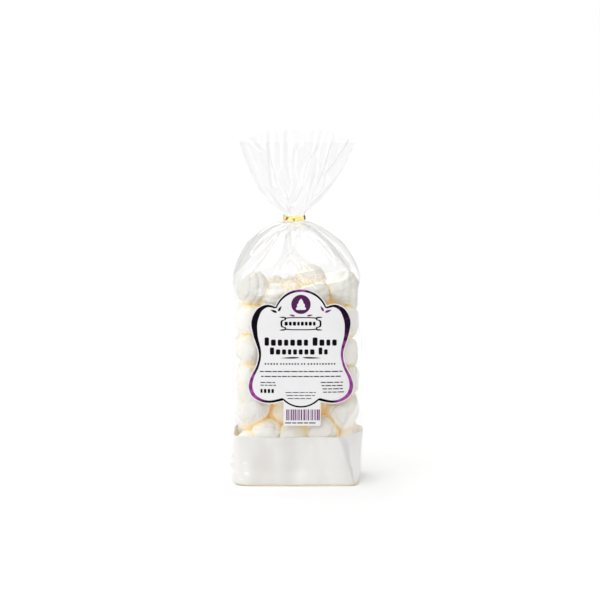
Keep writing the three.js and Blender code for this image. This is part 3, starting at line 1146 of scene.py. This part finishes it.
def print_shapes(rng):
    """Every shape of the print inside the border, with its foil tone."""
    dark, soft, purple = [], [], []
    for side in (-1, 1):
        leaves = purple if side > 0 else dark
        leaves.append(lens((side * 21.2, 167.3), (side * 18.2, 172.6), 2.2))
        leaves.append(lens((side * 22.3, 166.4), (side * 28.6, 168.9), 2.2))
        purple.append(lens((side * 5.6, 163.0), (side * 11.2, 164.2), 1.7))
        dark.append(lens((side * 1.2, 123.6), (side * 19.0, 123.2), 1.5))
        dark.append(lens((side * 14.0, 161.6), (side * 20.5, 161.9), 1.3))
        dark.append(lens((side * 14.0, 150.0), (side * 20.5, 149.7), 1.3))
    # The name plate, two rows of title and a thin row under them.
    x, z, half_x, _ = PLAQUE
    dark += word_row(rng, x - half_x + 4.0, x + half_x - 4.0, z, 3.6, 2.6, 1.1, 1)
    dark += word_row(rng, -34, 34, 137.8, 5.8, 4.0, 1.9, 2, True)
    dark += word_row(rng, -29, 28.6, 129.0, 4.9, 3.6, 1.7, 2, True)
    soft += word_row(rng, -34, 33, 117.6, 1.5, 1.4, 1.3, 4)
    # Two long rows of small print, and short ones at the left, the right and the middle.
    dark += bar_row(rng, -38.5, 39.5, 110.4, 0.95)
    dark += bar_row(rng, -37.5, 38.0, 105.7, 0.95)
    for k in range(2):
        dark += bar_row(rng, -38, -23.5, 99.9 - 2.6 * k, 0.8)
    dark += word_row(rng, -38.0, -24, 91.8, 3.8, 2.2, 1.3, 1)
    for k in range(4):
        dark += bar_row(rng, 18.5 + 0.8 * k, 41.0, 100.0 - 3.1 * k, 0.9)
    for k in range(3):
        soft += bar_row(rng, -14.5 + k, 14.0 - k, 90.4 - 2.9 * k, 0.7)
    # The small patch.
    purple += stripes(rng, -13.8, 17.0, 63.8, 74.2)
    soft += bar_row(rng, -15.0, 16.0, 61.3, 1.0)
    inks = ((dark, DARK_TONE), (soft, SOFT_TONE), (purple, PURPLE_TONE))
    return [(shape, tone) for shapes, tone in inks for shape in shapes]


def sweet_outline(middle, foot, height, width):
    """The side view of a plain piped sweet in three tiers."""
    t = np.linspace(0, 1, 40)
    tiers = np.abs(np.sin(3 * np.pi * t ** 0.88)) ** 0.55
    half = width / 2 * (1 - 0.93 * t ** 1.7) * (0.68 + 0.32 * tiers)
    right = stack(middle + half, foot + height * t)
    left = stack(middle - half, foot + height * t)[::-1]
    return np.concatenate([right, left[1:]])


def loop_band(name, outer, inner, tone):
    """A closed ribbon of ink between two loops."""
    points = [on_label(outer, INK_LIFT), on_label(inner, INK_LIFT)]
    piece = new_object(name, points, grid_faces(2, len(outer)), FOIL)
    add_values(piece, foil=np.tile(tone, 2))
    return piece


def flat_shapes(name, shapes, lift, material):
    """Many small flat shapes as one mesh."""
    points, faces, tones = [], [], []
    for loop, tone in shapes:
        faces.append(list(range(len(tones), len(tones) + len(loop))))
        points.append(on_label(loop, lift))
        tones += [tone] * len(loop)
    piece = new_object(name, np.concatenate(points), faces, material)
    add_values(piece, foil=tones)
    return piece


def make_label():
    """The scalloped sheet and its small patch, with the border, plate, emblem and print laid on."""
    loop, width = border_loop()
    paper = inset_loop(loop, np.full(len(loop), -PAPER_MARGIN))
    middle, half, top, corner = PATCH
    centre = (LABEL_LOW[2] + top) / 2
    patch = rounded_box(middle, centre, half, top - centre, corner)
    x, z, half_x, half_z = PLAQUE
    turn = np.linspace(0, 2 * np.pi, 72, endpoint=False)
    pinch = 1 - 0.12 * bell(np.abs(np.cos(turn)), 0.8, 0.12)
    wide = half_x * pinch * bent(np.cos(turn), 0.45)
    tall = half_z * pinch * bent(np.sin(turn), 0.6)
    frame_out = stack(x + wide, z + tall)
    frame_in = stack(x + wide * (1 - PLAQUE_LINE[0] / half_x), z + tall * (1 - PLAQUE_LINE[1] / half_z))
    disc = stack(np.cos(turn), np.sin(turn)) * EMBLEM_RADIUS + EMBLEM
    sweet = sweet_outline(EMBLEM[0], *SWEET)
    printed = print_shapes(np.random.default_rng(PRINT_SEED))
    return [
        paper_sheet("label_sheet", paper, 0.0),
        paper_sheet("label_patch", patch, 0.03),
        # The border's tone carries a painted reflection of its foil.
        loop_band("label_border", loop, inset_loop(loop, width), border_tone_and_sheen(loop)),
        loop_band("label_plaque", frame_out, frame_in, np.full(len(turn), 0.1)),
        flat_shapes("label_disc", [(disc, DISC_TONE)], INK_LIFT, FOIL),
        flat_shapes("label_kiss", [(sweet, 0.0)], 2 * INK_LIFT, PAPER),
        flat_shapes("label_print", printed, INK_LIFT, FOIL),
    ]


# ---------------- stage, lights and camera
# These are in metres and degrees.
FLOOR_REACH = 6.0
CAMERA_DISTANCE = 2.0
CAMERA_TILT = 8.3
CAMERA_SENSOR = 0.036
VIEW_WIDTH = 0.570
AIM_SIDE = 0.0025
AIM_HEIGHT = 0.1728


def make_stage():
    """A plain pale floor."""
    mesh = bpy.data.meshes.new("floor")
    corners = [(-1, -1), (1, -1), (1, 1), (-1, 1)]
    mesh.from_pydata([(FLOOR_REACH * x, FLOOR_REACH * y, 0) for x, y in corners], [], [(0, 1, 2, 3)])
    m = Nodes("floor")
    colour = m.ramp(m.noise(3.0), [(0.3, (0.835, 0.835, 0.835)), (0.7, (0.845, 0.845, 0.845))])
    mesh.materials.append(m.surface(colour, Roughness=0.7, Specular_IOR_Level=0.0))
    floor = bpy.data.objects.new("floor", mesh)
    bpy.context.scene.collection.objects.link(floor)
    floor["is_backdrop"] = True


def put(thing, place, target):
    """Link a light or the camera to the scene, in its place and looking at the target."""
    thing.location = place
    thing.rotation_euler = (Vector(target) - Vector(place)).to_track_quat("-Z", "Y").to_euler()
    bpy.context.scene.collection.objects.link(thing)


def area_light(name, place, target, size, power):
    data = bpy.data.lights.new(name, "AREA")
    data.shape = "RECTANGLE"
    data.size, data.size_y = size
    data.energy = power
    put(bpy.data.objects.new(name, data), place, target)


def make_world():
    """White behind the object in a bright room, dimmer on the right; gloss sees a high softbox."""
    w = Nodes("studio", world=True)
    bpy.context.scene.world = w.owner
    ray = w.add("LightPath").outputs
    place = w.add("TexCoord").outputs["Generated"]
    towards = w.add("SeparateXYZ", place).outputs
    dimmer = w.math("MULTIPLY_ADD", towards["X"], -0.47, 0.935)
    room = w.add("Background", w.math("MULTIPLY_ADD", towards["Z"], 0.42, dimmer))
    upward = w.add("VectorMath", place, (0, -0.7, 0.7), operation="DOT_PRODUCT").outputs["Value"]
    softbox = w.add("MapRange", upward, 0.72, 0.9, 0.66, 4.6).outputs[0]
    lit = w.blend(ray["Is Glossy Ray"], room, w.add("Background", WHITE, softbox))
    w.finish(w.blend(ray["Is Camera Ray"], lit, w.add("Background", WHITE)))


def make_lights():
    area_light("key", (-1.1, -1.0, 1.1), (0, 0, 0.15), (0.5, 0.5), 3.2)
    area_light("back", (-0.5, 1.3, 1.2), (0, 0, 0.2), (0.5, 0.3), 2)


def make_camera():
    tilt = math.radians(CAMERA_TILT)
    target = Vector((MIDDLE[0] * MM + AIM_SIDE, 0, AIM_HEIGHT))
    data = bpy.data.cameras.new("camera")
    data.sensor_width = CAMERA_SENSOR / MM
    data.lens = data.sensor_width * CAMERA_DISTANCE / VIEW_WIDTH
    camera = bpy.data.objects.new("camera", data)
    put(camera, target + Vector((0, -math.cos(tilt), math.sin(tilt))) * CAMERA_DISTANCE, target)
    bpy.context.scene.camera = camera


# ---------------- assembly
scene = bpy.context.scene
scene.view_settings.view_transform = "Standard"
scene.cycles.transparent_max_bounces = 32
scene.cycles.max_bounces = 24
scene.cycles.diffuse_bounces = 16
scene.cycles.glossy_bounces = 8

make_camera()
make_stage()
make_world()
make_lights()

rng = np.random.default_rng(HEAP_SEED)
meringues = make_meringues(rng, *pack_heap(rng))
film = add_film(np.random.default_rng(FILM_SEED))
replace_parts(film[0], "bag")
for piece in meringues + film[1:]:
    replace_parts(piece, "bag")
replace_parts(make_band(), "card_band")
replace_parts(make_board(), "base_board")
for piece in make_tie():
    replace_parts(piece, "tie")
for piece in make_label():
    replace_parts(piece, "label")

boxes = {"cad": cad_box, "visual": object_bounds()}
{name: [list(map(float, corner)) for corner in box] for name, box in boxes.items()}
